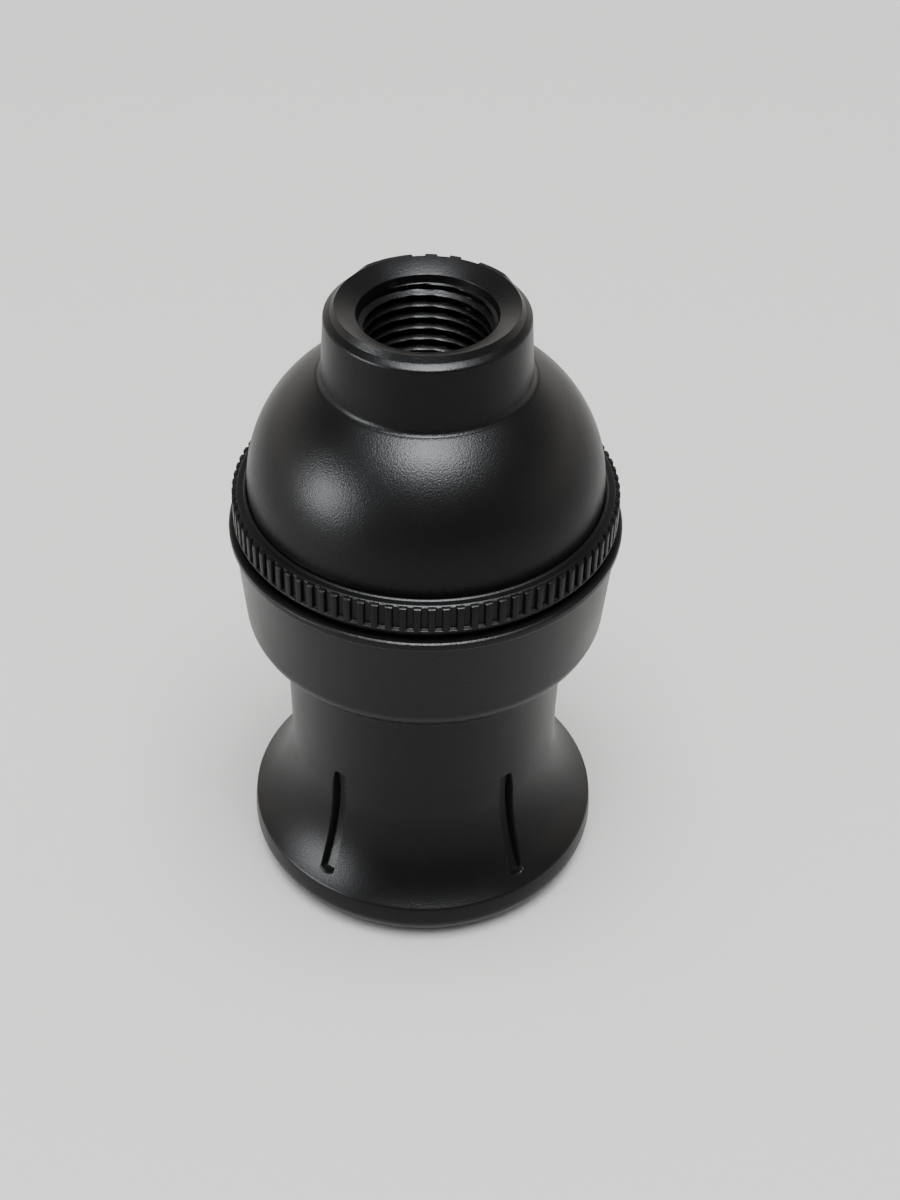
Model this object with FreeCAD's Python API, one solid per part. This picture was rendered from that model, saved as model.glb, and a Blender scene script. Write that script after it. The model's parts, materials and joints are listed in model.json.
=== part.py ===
"""Skirted bayonet lamp holder with a threaded conduit entry.

Upright, +Z up, on the axis of the holder.  The origin is the centre of the flat rim that the
protective skirt stands on.  A knurled union ring clamps the domed cap on the body.  The body
holds a bayonet sleeve, and above it a terminal block with two sprung plungers.
All sizes are in millimetres.
"""
import FreeCAD, Part
import math
import os

V = FreeCAD.Vector
Z_AXIS = V(0, 0, 1)
ORIGIN = V(0, 0, 0)

# ---------------------------------------------------------------- clearances
running_gap = 0.10        # radial, between parts that turn or slide on each other
face_gap = 0.10           # between flat faces of parts that move apart
fit_gap = 0.15            # radial, between fixed parts that are only assembled
press_gap = 0.02          # radial, where a part is pressed in

# ---------------------------------------------------------------- skirt and body
rim_inner_radius = 19.0   # flat face that the holder stands on
rim_outer_radius = 21.3
rim_under_radius = 22.8   # knee between the rim's sloping foot and its side
rim_under_height = 2.1
rim_band_radius = 23.35   # widest part of the skirt's rim
rim_band_height = 3.3
rim_edge_radius = 23.1    # top edge of the rim
rim_edge_height = 6.1
skirt_wall = 2.4
flare_radius = 15.4       # concave curve of the skirt
waist_radius = 17.6
waist_wall = 2.6
waist_taper = 0.25        # how much wider the waist is where it meets the bowl
bowl_bottom = 35.2        # underside of the bowl
bowl_rise = 42.5          # degrees from level of the bowl's sloping underside
bowl_draft = 1.05         # how much the side draws in from the flange to the underside
bowl_corner = 3.8         # radius of the curve between side and underside
floor_thickness = 4.0     # bottom of the bowl
flange_reach = 0.6        # how far the flange stands out past the knurl
flange_step = 0.5         # how far it stands out over the bowl's side
flange_low = 52.6
flange_thickness = 1.1
flange_edge = 0.3

groove_count = 5
groove_first = 18.0       # degrees from +X, which puts two grooves beside the front
groove_depth = 1.1        # at the middle of a groove
groove_end_depth = 0.45   # at its two ends
groove_floor = 0.7        # width of the floor
groove_width = 1.2        # width above the floor's bevels
groove_bevel = 0.25       # height of those bevels
groove_draft = 0.5        # how much each wall leans out for its height
groove_mouth = 2.2        # width of the rounded ends
groove_top = 22.2
groove_bottom = 7.2

# ---------------------------------------------------------------- union ring and its thread
thread_pitch = 1.5
thread_core_radius = 21.9  # plain core of the body's thread; the turns stand on it
thread_depth = 0.35
ring_ridge = 0.32          # how far the ring's own turns stand in from its bore
spigot_height = 2.7        # threaded spigot above the body's flange
spigot_wall = 1.5
ring_wall_above = 0.9      # lip over the cap's flange
ring_wall = 0.6            # from the ring's bore to the knurl's valleys
knurl_depth = 0.45
knurl_height = 3.4
knurl_shelf = 0.3
knurl_bevel = 0.15         # from the ribs' tops up to the ring's flat top
knurl_count = 90
knurl_rib_share = 0.4      # share of the knurl's pitch that is rib
ring_tail = 0.75           # plain band below the knurl

# ---------------------------------------------------------------- cap
dome_step = 0.4            # how much narrower the dome is than the thread's core
dome_arc = 17.0
dome_wall = 2.2
dome_spring = 0.8          # straight stretch above the ring before the dome's curve starts
cap_flange = 0.9
cap_register_depth = 2.0   # rim of the cap that drops into the body
cap_register_wall = 1.7
neck_base_radius = 12.25
neck_top_radius = 11.95
neck_fillet = 0.7
neck_wall_drop = 3.8       # from the lip down to where the neck starts to draw in
shoulder_drop = 1.65       # from the lip down to the shoulder's bevel
shoulder_radius = 11.75
shoulder_inner_radius = 11.3
shoulder_bevel = 0.9       # height of the bevel
lip_radius = 10.5
lip_foot_radius = 10.85
lip_height = 0.65          # lip over the shoulder
rim_drop = 0.08            # the shoulder's raised rim stops this far below the lip
mouth_radius = 8.1
mouth_depth = 1.1
entry_core_radius = 7.25   # core of the 16 mm conduit thread
entry_thread_length = 9.0
entry_relief = 1.0         # plain mouth above the first turn
stop_hole_radius = 6.2     # hole through the shelf that the conduit stops on
stop_thickness = 1.6
neck_height = 8.9          # from the dome to the lip
rim_span = (5.0, 175.0)    # degrees from +X that the raised rim runs round the rear
rim_notches = ((67.5, 2.2), (82.5, 1.6), (98.7, 2.0), (121.0, 4.4))  # (degrees, width)

# ---------------------------------------------------------------- bayonet sleeve
socket_radius = 11.25
block_seat_radius = 11.45  # wider top of the sleeve, which takes the block's boss
sleeve_wall = 0.8
sleeve_length = 22.0
sleeve_flange = 1.0
step_gap = 0.2             # the wider top starts this far below the plungers' tips
slot_width = 2.8
slot_depth = 9.0
slot_turn = 16.0           # degrees from the entry slot to the pin's seat
slot_return = 1.2          # how far the seat drops back towards the mouth

# ---------------------------------------------------------------- terminal block and contacts
block_disc = 3.6
block_boss_depth = 6.0
barrier_share = 0.9        # length of the barrier, as a share of the tower's width
driver_gap = 0.6           # room round the heads of the block's screws
screw_end_gap = 0.4        # room under a screw's tip
block_tower_radius = 13.6
barrier_height = 4.4
barrier_width = 2.0
contact_spacing = 8.2
tube_radius = 2.95
tube_wall = 0.4
tube_lip = 0.7
tube_head = 0.8
tube_length = 11.6
strip_thickness = 0.8
strip_width = 5.6
strip_reach = 12.4
strip_corner_share = 0.3   # rounding of the strip's outer corners, as a share of its width
terminal_x = 9.6
plunger_radius = 1.95
plunger_travel = 3.8
plunger_stub = 1.0         # how far a plunger still stands out when it is pressed in
plunger_collar = 1.1
plunger_seat_gap = 0.05
nose_share = 0.45          # bevel of the plunger's nose, as a share of its radius
spring_wire = 0.45
spring_turns = 6.0
spring_steps = 10          # sections in each turn
spring_end_gap = 0.05
screw_shank = 1.45
screw_head = 2.6
screw_head_height = 1.5
screw_slot = 0.6
screw_chamfer_share = 0.2  # of the head's height
terminal_screw_length = 4.6
saddle_side = 5.2
saddle_thickness = 0.9
saddle_overhang = 0.95     # how far the saddle reaches past each side of the strip
ear_thickness = 0.8
ear_overlap = 0.3          # how far the ears reach down beside the strip
wire_gap = 0.5             # room under the saddle for a wire, screws run up to it
fix_screw_inset = 3.5      # from the bowl's bore in to the screws
fix_screw_shank = 1.2
fix_screw_head = 2.2
fix_screw_head_height = 1.4
washer_thickness = 0.5
washer_inset = 0.1         # how much narrower a washer is than its screw's head
insert_radius = 1.65
insert_depth = 2.4

# ---------------------------------------------------------------- derived levels
flange_top = flange_low + flange_thickness
spigot_top = flange_top + spigot_height
cap_base = spigot_top + face_gap
cap_flange_top = cap_base + cap_flange
ring_bore_radius = thread_core_radius + thread_depth + running_gap
cap_flange_radius = ring_bore_radius - ring_ridge - running_gap / 2
lip_underside = cap_flange_top + face_gap
ring_top = lip_underside + ring_wall_above
dome_radius = thread_core_radius - dome_step
ring_hole_radius = dome_radius + running_gap
knurl_valley = ring_bore_radius + ring_wall
knurl_radius = knurl_valley + knurl_depth
flange_radius = knurl_radius + flange_reach
bowl_top_radius = flange_radius - flange_step
bowl_low_radius = bowl_top_radius - bowl_draft
bowl_bore_radius = thread_core_radius - spigot_wall
fix_screw_y = bowl_bore_radius - fix_screw_inset
knurl_top = ring_top - knurl_bevel
knurl_low = knurl_top - knurl_height
ring_bottom = knurl_low - ring_tail
dome_centre_r = dome_radius - dome_arc
dome_centre_z = ring_top + dome_spring
dome_inner_arc = dome_arc - dome_wall
floor_top = bowl_bottom + floor_thickness
flare_centre_r = waist_radius + flare_radius
flare_end_angle = math.acos((flare_centre_r - rim_edge_radius) / flare_radius)
flare_top = rim_edge_height + flare_radius * math.sin(flare_end_angle)


def dome_height(r, arc):
    """Height of the dome's curve of radius arc at distance r from the axis."""
    return dome_centre_z + math.sqrt(arc ** 2 - (r - dome_centre_r) ** 2)


def flare_at(z):
    """Radius of the skirt's outside at a height between its rim and its waist."""
    return flare_centre_r - math.sqrt(flare_radius ** 2 - (flare_top - z) ** 2)


neck_base = dome_height(neck_base_radius, dome_arc)
lip_top = neck_base + neck_height
mouth_level = lip_top - mouth_depth
thread_top = mouth_level - entry_relief
thread_end = thread_top - entry_thread_length
stop_underside = thread_end - stop_thickness
sleeve_flange_top = floor_top + sleeve_flange
sleeve_low = sleeve_flange_top - sleeve_length
block_boss_radius = block_seat_radius - fit_gap
inner_radius = bowl_bore_radius - fit_gap
block_base = sleeve_flange_top
disc_top = block_base + block_disc
boss_low = block_base - block_boss_depth
plunger_reach = plunger_travel + plunger_stub
contact_x = contact_spacing / 2
tube_top = boss_low + tube_length
chamber_top = tube_top - tube_head
collar_low = boss_low + tube_lip
collar_top = collar_low + plunger_collar
strip_top = tube_top + strip_thickness
saddle_low = strip_top + wire_gap
saddle_top = saddle_low + saddle_thickness


# ---------------------------------------------------------------- helpers
def rz(r, z):
    return V(r, 0, z)


def line(a, b):
    return Part.LineSegment(rz(*a), rz(*b)).toShape()


def arc(a, through, b):
    return Part.Arc(rz(*a), rz(*through), rz(*b)).toShape()


def on_circle(centre, radius, degrees):
    angle = math.radians(degrees)
    return (centre[0] + radius * math.cos(angle), centre[1] + radius * math.sin(angle))


def rounded(a, corner, b, radius):
    """Start, middle and end of the arc that rounds the corner between two straight runs."""
    to_a, to_b = rz(*a) - rz(*corner), rz(*b) - rz(*corner)
    half = to_a.getAngle(to_b) / 2
    inward = (to_a.normalize() + to_b.normalize()).normalize()
    reach = radius / math.tan(half)
    middle = rz(*corner) + inward * (radius / math.sin(half) - radius)
    return [(p.x, p.z) for p in (rz(*corner) + to_a * reach, middle, rz(*corner) + to_b * reach)]


def turned(edges):
    """Solid of revolution about Z from a closed outline in the RZ plane."""
    face = Part.Face(Part.Wire(Part.__sortEdges__(edges)))
    return face.revolve(ORIGIN, Z_AXIS, 360)


def outline(points):
    """Straight edges through the points, closed."""
    return [line(a, b) for a, b in zip(points, points[1:] + points[:1])]


def cylinder(radius, low, high, x=0.0, y=0.0):
    return Part.makeCylinder(radius, high - low, V(x, y, low))


def ring(outer, inner, low, high, x=0.0, y=0.0):
    return cylinder(outer, low, high, x, y).cut(cylinder(inner, low - 1, high + 1, x, y))


def block(x_size, y_size, low, high, x=0.0, y=0.0):
    return Part.makeBox(x_size, y_size, high - low, V(x - x_size / 2, y - y_size / 2, low))


def turned_by(shape, degrees):
    copy = shape.copy()
    copy.rotate(ORIGIN, Z_AXIS, degrees)
    return copy


def around(shape, count, first=0.0):
    return [turned_by(shape, first + i * 360.0 / count) for i in range(count)]


# ---------------------------------------------------------------- visible mouldings
def groove_cutter():
    """Cutter for one groove of the flare, at angle 0: a bevelled disc held to a slot's outline."""
    top_r, low_r = waist_radius, flare_at(groove_bottom)
    length = math.hypot(low_r - top_r, groove_top - groove_bottom)
    tilt = math.degrees(math.atan2(groove_top - groove_bottom, low_r - top_r))
    middle_r, middle_z = (top_r + low_r) / 2, (groove_top + groove_bottom) / 2
    hollow = (middle_r - flare_at(middle_z)) * math.sin(math.radians(tilt)) + groove_depth
    sagitta = hollow - groove_end_depth
    disc = (length ** 2 / 4 + sagitta ** 2) / (2 * sagitta)
    floor, shoulder = groove_floor / 2, groove_width / 2
    mouth = shoulder + (disc - groove_bevel) * groove_draft
    section = [(0, -mouth), (disc - groove_bevel, -shoulder), (disc, -floor),
               (disc, floor), (disc - groove_bevel, shoulder), (0, mouth)]
    face = Part.Face(Part.makePolygon([V(0, y, -q) for q, y in section + section[:1]]))
    wheel = face.revolve(ORIGIN, V(0, 1, 0), 360)
    wheel.translate(V(0, 0, disc - hollow))
    end = groove_mouth / 2
    slot = Part.makeBox(length - 2 * end, 2 * end, 4 * hollow, V(end - length / 2, -end, -2 * hollow))
    slot = slot.fuse([Part.makeCylinder(end, 4 * hollow, V(x, 0, -2 * hollow))
                      for x in (end - length / 2, length / 2 - end)])
    cutter = wheel.common(slot)
    cutter.rotate(ORIGIN, V(0, 1, 0), tilt)
    cutter.translate(V(middle_r, 0, middle_z))
    return cutter


def body():
    flare_end = (rim_edge_radius, rim_edge_height)
    centre = (flare_centre_r, flare_top)
    flare_start = (waist_radius, flare_top)
    sweep = math.degrees(flare_end_angle)
    flare_mid = on_circle(centre, flare_radius, 180 + sweep / 2)
    waist_top = (waist_radius + waist_taper, bowl_bottom)
    bowl_top = (bowl_top_radius, flange_low)
    underside = (bowl_low_radius - waist_top[0]) * math.tan(math.radians(bowl_rise))
    bowl_low = (bowl_low_radius, bowl_bottom + underside)
    corner_low, corner_mid, corner_high = rounded(waist_top, bowl_low, bowl_top, bowl_corner)
    inner_waist = waist_radius - waist_wall
    inner_arc = flare_radius + skirt_wall
    inner_end_angle = math.acos((flare_centre_r - rim_inner_radius) / inner_arc)
    inner_shift = waist_wall - skirt_wall
    inner_centre = (flare_centre_r - inner_shift, flare_top)
    inner_start = (inner_waist, flare_top)
    inner_end = on_circle(inner_centre, inner_arc, 180 + math.degrees(inner_end_angle))
    inner_mid = on_circle(inner_centre, inner_arc, 180 + math.degrees(inner_end_angle) / 2)
    band = (rim_band_radius, rim_band_height)
    under = (rim_under_radius, rim_under_height)
    edge = flange_edge
    shell = turned([
        line((rim_inner_radius, 0), (rim_outer_radius, 0)),
        line((rim_outer_radius, 0), under),
        line(under, band),
        line(band, flare_end),
        arc(flare_end, flare_mid, flare_start),
        line(flare_start, waist_top),
        line(waist_top, corner_low),
        arc(corner_low, corner_mid, corner_high),
        line(corner_high, bowl_top),
        line(bowl_top, (flange_radius - edge, flange_low)),
        line((flange_radius - edge, flange_low), (flange_radius, flange_low + edge)),
        line((flange_radius, flange_low + edge), (flange_radius, flange_top - edge)),
        line((flange_radius, flange_top - edge), (flange_radius - edge, flange_top)),
        line((flange_radius - edge, flange_top), (thread_core_radius, flange_top)),
        line((thread_core_radius, flange_top), (thread_core_radius, spigot_top)),
        line((thread_core_radius, spigot_top), (bowl_bore_radius, spigot_top)),
        line((bowl_bore_radius, spigot_top), (bowl_bore_radius, floor_top)),
        line((bowl_bore_radius, floor_top), (inner_waist, floor_top)),
        line((inner_waist, floor_top), inner_start),
        arc(inner_start, inner_mid, inner_end),
        line(inner_end, (rim_inner_radius, 0)),
    ])
    grooves = around(groove_cutter(), groove_count, groove_first)
    seats = [cylinder(insert_radius, floor_top - insert_depth, floor_top + 1, 0, side * fix_screw_y)
             for side in (-1, 1)]
    return shell.cut(grooves + seats)


def union_ring():
    shell = turned(outline([
        (ring_bore_radius, ring_bottom),
        (knurl_valley, ring_bottom),
        (knurl_valley, knurl_low),
        (knurl_radius, knurl_low),
        (knurl_radius, knurl_top),
        (knurl_valley, ring_top),
        (ring_hole_radius, ring_top),
        (ring_hole_radius, lip_underside),
        (ring_bore_radius, lip_underside),
    ]))
    pitch = 2 * math.pi * knurl_radius / knurl_count
    valley = Part.makeBox(knurl_radius, pitch * (1 - knurl_rib_share), knurl_height,
                          V(knurl_valley, -pitch * (1 - knurl_rib_share) / 2, knurl_low + knurl_shelf))
    return shell.cut(around(valley, knurl_count))


def raised_rim():
    """Rim on the rear of the neck's shoulder, parted by notches."""
    low, high = lip_top - lip_height - rim_drop, lip_top - rim_drop
    outer = shoulder_inner_radius - rim_drop
    first, last = rim_span
    sector = Part.makeCylinder(outer, high - low, V(0, 0, low), Z_AXIS, last - first)
    rim = turned_by(sector, first).cut(cylinder(lip_radius - rim_drop, low - 1, high + 1))
    return rim.cut([turned_by(block(2 * outer, width, low - 1, high + 1, outer), angle)
                    for angle, width in rim_notches])


def cap():
    register_radius = bowl_bore_radius - running_gap
    register_low = cap_base - cap_register_depth
    register_inner = register_radius - cap_register_wall
    centre = (dome_centre_r, dome_centre_z)
    dome_start = (dome_radius, dome_centre_z)
    neck_side = neck_base_radius + neck_fillet
    crease_z = dome_centre_z + math.sqrt((dome_arc + neck_fillet) ** 2 - (neck_side - dome_centre_r) ** 2)
    crease_centre = (neck_side, crease_z)
    end_degrees = math.degrees(math.atan2(crease_z - dome_centre_z, neck_side - dome_centre_r))
    crease_low = on_circle(centre, dome_arc, end_degrees)
    crease_mid = on_circle(crease_centre, neck_fillet, (180 + end_degrees + 180) / 2)
    crease_high = (neck_base_radius, crease_z)
    dome_mid = on_circle(centre, dome_arc, end_degrees / 2)
    inner_start_r = dome_centre_r + dome_inner_arc
    ceiling_r = dome_centre_r + math.sqrt(dome_inner_arc ** 2 - (stop_underside - dome_centre_z) ** 2)
    ceiling_degrees = math.degrees(math.acos((ceiling_r - dome_centre_r) / dome_inner_arc))
    inner_mid = on_circle(centre, dome_inner_arc, ceiling_degrees / 2)
    shoulder_z = lip_top - shoulder_drop
    shoulder_high = shoulder_z + shoulder_bevel
    shell = turned([
        line((register_inner, register_low), (register_radius, register_low)),
        line((register_radius, register_low), (register_radius, cap_base)),
        line((register_radius, cap_base), (cap_flange_radius, cap_base)),
        line((cap_flange_radius, cap_base), (cap_flange_radius, cap_flange_top)),
        line((cap_flange_radius, cap_flange_top), (dome_radius, cap_flange_top)),
        line((dome_radius, cap_flange_top), dome_start),
        arc(dome_start, dome_mid, crease_low),
        arc(crease_low, crease_mid, crease_high),
        line(crease_high, (neck_top_radius, lip_top - neck_wall_drop)),
        line((neck_top_radius, lip_top - neck_wall_drop), (shoulder_radius, shoulder_z)),
        line((shoulder_radius, shoulder_z), (shoulder_inner_radius, shoulder_high)),
        line((shoulder_inner_radius, shoulder_high), (lip_foot_radius, lip_top - lip_height)),
        line((lip_foot_radius, lip_top - lip_height), (lip_radius, lip_top)),
        line((lip_radius, lip_top), (mouth_radius, mouth_level)),
        line((mouth_radius, mouth_level), (mouth_radius, thread_top)),
        line((mouth_radius, thread_top), (entry_core_radius, thread_top)),
        line((entry_core_radius, thread_top), (entry_core_radius, thread_end)),
        line((entry_core_radius, thread_end), (stop_hole_radius, thread_end)),
        line((stop_hole_radius, thread_end), (stop_hole_radius, stop_underside)),
        line((stop_hole_radius, stop_underside), (ceiling_r, stop_underside)),
        arc((ceiling_r, stop_underside), inner_mid, (inner_start_r, dome_centre_z)),
        line((inner_start_r, dome_centre_z), (register_inner, cap_base)),
        line((register_inner, cap_base), (register_inner, register_low)),
    ])
    return shell.fuse(raised_rim())


# ---------------------------------------------------------------- bayonet sleeve
def bayonet_sleeve():
    outer = block_seat_radius + sleeve_wall
    seat_step = boss_low - plunger_reach - step_gap
    shell = turned(outline([
        (socket_radius, sleeve_low),
        (outer, sleeve_low),
        (outer, floor_top),
        (inner_radius, floor_top),
        (inner_radius, sleeve_flange_top),
        (block_seat_radius, sleeve_flange_top),
        (block_seat_radius, seat_step),
        (socket_radius, seat_step),
    ]))
    seat_z = sleeve_low + slot_depth
    half = slot_width / 2
    reach = outer + 1
    cuts = []
    for side in (90, 270):
        entry = Part.makeBox(reach, slot_width, slot_depth + 1 - half, V(0, -half, sleeve_low - 1))
        entry = entry.fuse(Part.makeCylinder(half, reach, V(0, 0, seat_z - half), V(1, 0, 0)))
        seat_low = seat_z - half - slot_return
        seat = Part.makeCylinder(half, reach, V(0, 0, seat_low), V(1, 0, 0))
        seat = seat.fuse(Part.makeBox(reach, slot_width, slot_return, V(0, -half, seat_low)))
        seat = seat.fuse(Part.makeCylinder(half, reach, V(0, 0, seat_z - half), V(1, 0, 0)))
        run = turned(outline([(1, seat_z - slot_width), (reach, seat_z - slot_width),
                              (reach, seat_z), (1, seat_z)]))
        wedge = Part.makeCylinder(reach, slot_width, V(0, 0, seat_z - slot_width), Z_AXIS, slot_turn)
        run = run.common(wedge)
        cuts += [turned_by(entry, side), turned_by(run, side), turned_by(seat, side + slot_turn)]
    holes = [cylinder(fix_screw_shank + fit_gap, floor_top - 1, sleeve_flange_top + 1, 0,
                      side * fix_screw_y) for side in (-1, 1)]
    return shell.cut(cuts + holes)


# ---------------------------------------------------------------- terminal block and contacts
def terminal_block():
    disc = cylinder(inner_radius, block_base, disc_top)
    boss = cylinder(block_boss_radius, boss_low, block_base)
    tower = cylinder(block_tower_radius, disc_top, tube_top)
    barrier_length = 2 * block_tower_radius * barrier_share
    barrier = block(barrier_width, barrier_length, disc_top, tube_top + barrier_height)
    body_shape = disc.fuse([boss, tower, barrier])
    screw_hole_low = strip_top - terminal_screw_length - screw_end_gap
    cuts = []
    for side in (-1, 1):
        screw_y = side * fix_screw_y
        cuts += [
            cylinder(tube_radius + press_gap, boss_low - 1, tube_top + 1, side * contact_x),
            cylinder(screw_shank + fit_gap, screw_hole_low, tube_top + 1, side * terminal_x),
            cylinder(fix_screw_shank + fit_gap, block_base - 1, disc_top + 1, 0, screw_y),
            cylinder(fix_screw_head + driver_gap, disc_top, tube_top + 1, 0, screw_y),
        ]
    return body_shape.cut(cuts).removeSplitter()


def contact_tube(side):
    x = side * contact_x
    tube = cylinder(tube_radius, boss_low, tube_top, x)
    chamber = cylinder(tube_radius - tube_wall, collar_low, chamber_top, x)
    hole = cylinder(plunger_radius + running_gap, boss_low - 1, chamber_top, x)
    return tube.cut([chamber, hole])


def contact_strip(side):
    inner_x = barrier_width / 2 + fit_gap
    length = strip_reach - inner_x
    strip = block(length, strip_width, tube_top, strip_top, side * (inner_x + length / 2))
    corners = [e for e in strip.Edges if abs(e.Length - strip_thickness) < 1e-6
               and abs(e.CenterOfMass.x) > strip_reach - strip_thickness]
    strip = strip.makeFillet(strip_width * strip_corner_share, corners)
    hole = cylinder(screw_shank + press_gap, tube_top - 1, strip_top + 1, side * terminal_x)
    return strip.cut(hole)


def slotted_screw(shank, head, head_height, seat, length, x, y, angle):
    """Cheese-head screw whose head sits on the height seat, shank downwards."""
    head_shape = cylinder(head, seat, seat + head_height, x, y)
    rim = [e for e in head_shape.Edges if e.Closed and e.BoundBox.ZMin > seat + head_height / 2]
    head_shape = head_shape.makeChamfer(head_height * screw_chamfer_share, rim)
    shape = head_shape.fuse(cylinder(shank, seat - length, seat, x, y))
    slot = block(3 * head, screw_slot, seat + head_height / 2, seat + head_height + 1)
    slot.rotate(ORIGIN, Z_AXIS, angle)
    slot.translate(V(x, y, 0))
    return shape.cut(slot)


def terminal_screw(side):
    return slotted_screw(screw_shank, screw_head, screw_head_height, saddle_top,
                         terminal_screw_length + wire_gap + saddle_thickness,
                         side * terminal_x, 0, 35 * side)


def wire_saddle(side):
    """Square wire clamp under the screw head, its outer edges turned down beside the strip."""
    x = side * terminal_x
    half_width = strip_width / 2 + saddle_overhang
    plate = block(saddle_side, 2 * half_width, saddle_low, saddle_top, x)
    ears = [block(saddle_side, ear_thickness, strip_top - ear_overlap, saddle_low, x,
                  y * (half_width - ear_thickness / 2)) for y in (-1, 1)]
    shape = plate.fuse(ears).removeSplitter()
    return shape.cut(cylinder(screw_shank + running_gap, saddle_low - 1, saddle_top + 1, x))


def plunger(side):
    x = side * contact_x
    tip = boss_low - plunger_reach
    pin = cylinder(plunger_radius, tip, collar_top, x)
    nose = [e for e in pin.Edges if e.Closed and e.BoundBox.ZMax < (tip + collar_top) / 2]
    pin = pin.makeChamfer(plunger_radius * nose_share, nose)
    collar = cylinder(tube_radius - tube_wall - running_gap, collar_low + plunger_seat_gap, collar_top, x)
    return pin.fuse(collar).removeSplitter()


def plunger_spring(side):
    """Compression spring of six-sided wire between the plunger's collar and the tube's head."""
    half_wire = spring_wire / 2
    low = collar_top + half_wire + spring_end_gap
    high = chamber_top - half_wire - spring_end_gap
    mean = tube_radius - tube_wall - half_wire - fit_gap
    steps = int(spring_turns * spring_steps)
    sections = []
    for step in range(steps + 1):
        share = step / steps
        radii = [on_circle((mean, low + share * (high - low)), half_wire, degrees)
                 for degrees in range(0, 361, 60)]
        section = Part.makePolygon([rz(r, z) for r, z in radii])
        sections.append(turned_by(section, share * spring_turns * 360))
    coil = Part.makeLoft(sections, True, True)
    coil.translate(V(side * contact_x, 0, 0))
    return coil


# ---------------------------------------------------------------- fixings of the block
def block_screws():
    seat = disc_top + washer_thickness
    length = seat - floor_top + insert_depth - screw_end_gap
    return [slotted_screw(fix_screw_shank, fix_screw_head, fix_screw_head_height, seat, length,
                          0, side * fix_screw_y, 20) for side in (-1, 1)]


def spring_washers():
    return [ring(fix_screw_head - washer_inset, fix_screw_shank + running_gap, disc_top,
                 disc_top + washer_thickness, 0, side * fix_screw_y) for side in (-1, 1)]


def threaded_inserts():
    return [ring(insert_radius, fix_screw_shank + press_gap, floor_top - insert_depth, floor_top,
                 0, side * fix_screw_y) for side in (-1, 1)]


# ---------------------------------------------------------------- export
def save(name, shape):
    if isinstance(shape, list):
        shape = Part.Compound(shape)
    if not shape.isValid():
        raise ValueError(name + " is not a valid shape")
    shape.exportStep("parts/" + name + ".step")
    print(name, "solids", len(shape.Solids), "volume %.2f" % shape.Volume)


def main():
    os.makedirs("parts", exist_ok=True)
    save("skirt_body", body())
    save("union_ring", union_ring())
    save("cap", cap())
    save("bayonet_sleeve", bayonet_sleeve())
    save("terminal_block", terminal_block())
    for name, side in (("left", -1), ("right", 1)):
        save("contact_tube_" + name, contact_tube(side))
        save("contact_strip_" + name, contact_strip(side))
        save("wire_saddle_" + name, wire_saddle(side))
        save("terminal_screw_" + name, terminal_screw(side))
        save("plunger_" + name, plunger(side))
        save("plunger_spring_" + name, plunger_spring(side))
    save("block_screws", block_screws())
    save("spring_washers", spring_washers())
    save("threaded_inserts", threaded_inserts())
    print("lip top %.2f, thread end %.2f, ring top %.2f" % (lip_top, thread_end, ring_top))


main()
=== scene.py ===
"""Looks of a skirted bayonet lamp holder: smooth mouldings, threads, knurl, metal finishes and studio.

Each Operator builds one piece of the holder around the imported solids, or finishes a group of them.
Outlines are in millimetres, as (distance from the axis, height), and meshes are in metres.
"""

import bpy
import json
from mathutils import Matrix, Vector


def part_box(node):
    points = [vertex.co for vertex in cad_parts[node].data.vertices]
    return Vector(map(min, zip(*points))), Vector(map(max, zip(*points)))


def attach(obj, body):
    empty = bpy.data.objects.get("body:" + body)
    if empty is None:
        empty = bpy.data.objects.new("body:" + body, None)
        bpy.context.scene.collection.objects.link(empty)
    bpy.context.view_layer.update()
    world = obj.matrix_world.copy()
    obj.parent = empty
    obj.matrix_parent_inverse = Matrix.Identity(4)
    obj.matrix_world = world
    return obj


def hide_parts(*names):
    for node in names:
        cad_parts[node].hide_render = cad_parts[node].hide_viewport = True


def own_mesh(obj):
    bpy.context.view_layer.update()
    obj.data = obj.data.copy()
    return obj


bl_info = {
    "name": "Bayonet lamp holder",
    "version": (1, 0, 0),
    "blender": (4, 5, 0),
    "location": "View3D > Sidebar > Lamp Holder",
    "description": "Builds the mouldings, springs, finishes and studio of a skirted lamp holder",
    "category": "Object",
}

import json
import math

import bpy
import numpy as np
from bpy.props import FloatProperty, FloatVectorProperty, IntProperty, PointerProperty
from mathutils import Matrix, Vector

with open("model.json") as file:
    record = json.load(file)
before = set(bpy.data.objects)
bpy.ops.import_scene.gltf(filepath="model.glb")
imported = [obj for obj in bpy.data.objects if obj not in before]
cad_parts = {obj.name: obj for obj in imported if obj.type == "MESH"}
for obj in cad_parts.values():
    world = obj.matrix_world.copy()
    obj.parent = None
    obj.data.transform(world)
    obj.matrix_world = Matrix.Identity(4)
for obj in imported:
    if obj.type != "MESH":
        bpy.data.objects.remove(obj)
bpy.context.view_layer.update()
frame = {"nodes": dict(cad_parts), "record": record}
MM = 0.001
TURN = 2 * math.pi


# ---------------------------------------------------------------- sizes taken from the frame, in mm
def span(node):
    """Widest radius, lowest and highest point of a CAD node around the axis."""
    low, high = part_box(node)
    return high.x / MM, low.z / MM, high.z / MM


def mount(name):
    return next(m for m in frame["record"]["mounts"] if m["name"] == name)


flange_radius, rim_base, spigot_top = span("skirt_body")
knurl_radius, ring_bottom, ring_top = span("union_ring")
cap_flange_radius, register_low, lip_top = span("cap")
entry_core_radius = mount("conduit_entry")["dims"]["r_mm"]
entry_length = mount("conduit_entry")["dims"]["length_mm"]
entry_middle = mount("conduit_entry")["pos_m"][2] / MM

# ---------------------------------------------------------------- sizes of the mouldings, in mm
running_gap = 0.10
face_gap = 0.10

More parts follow.
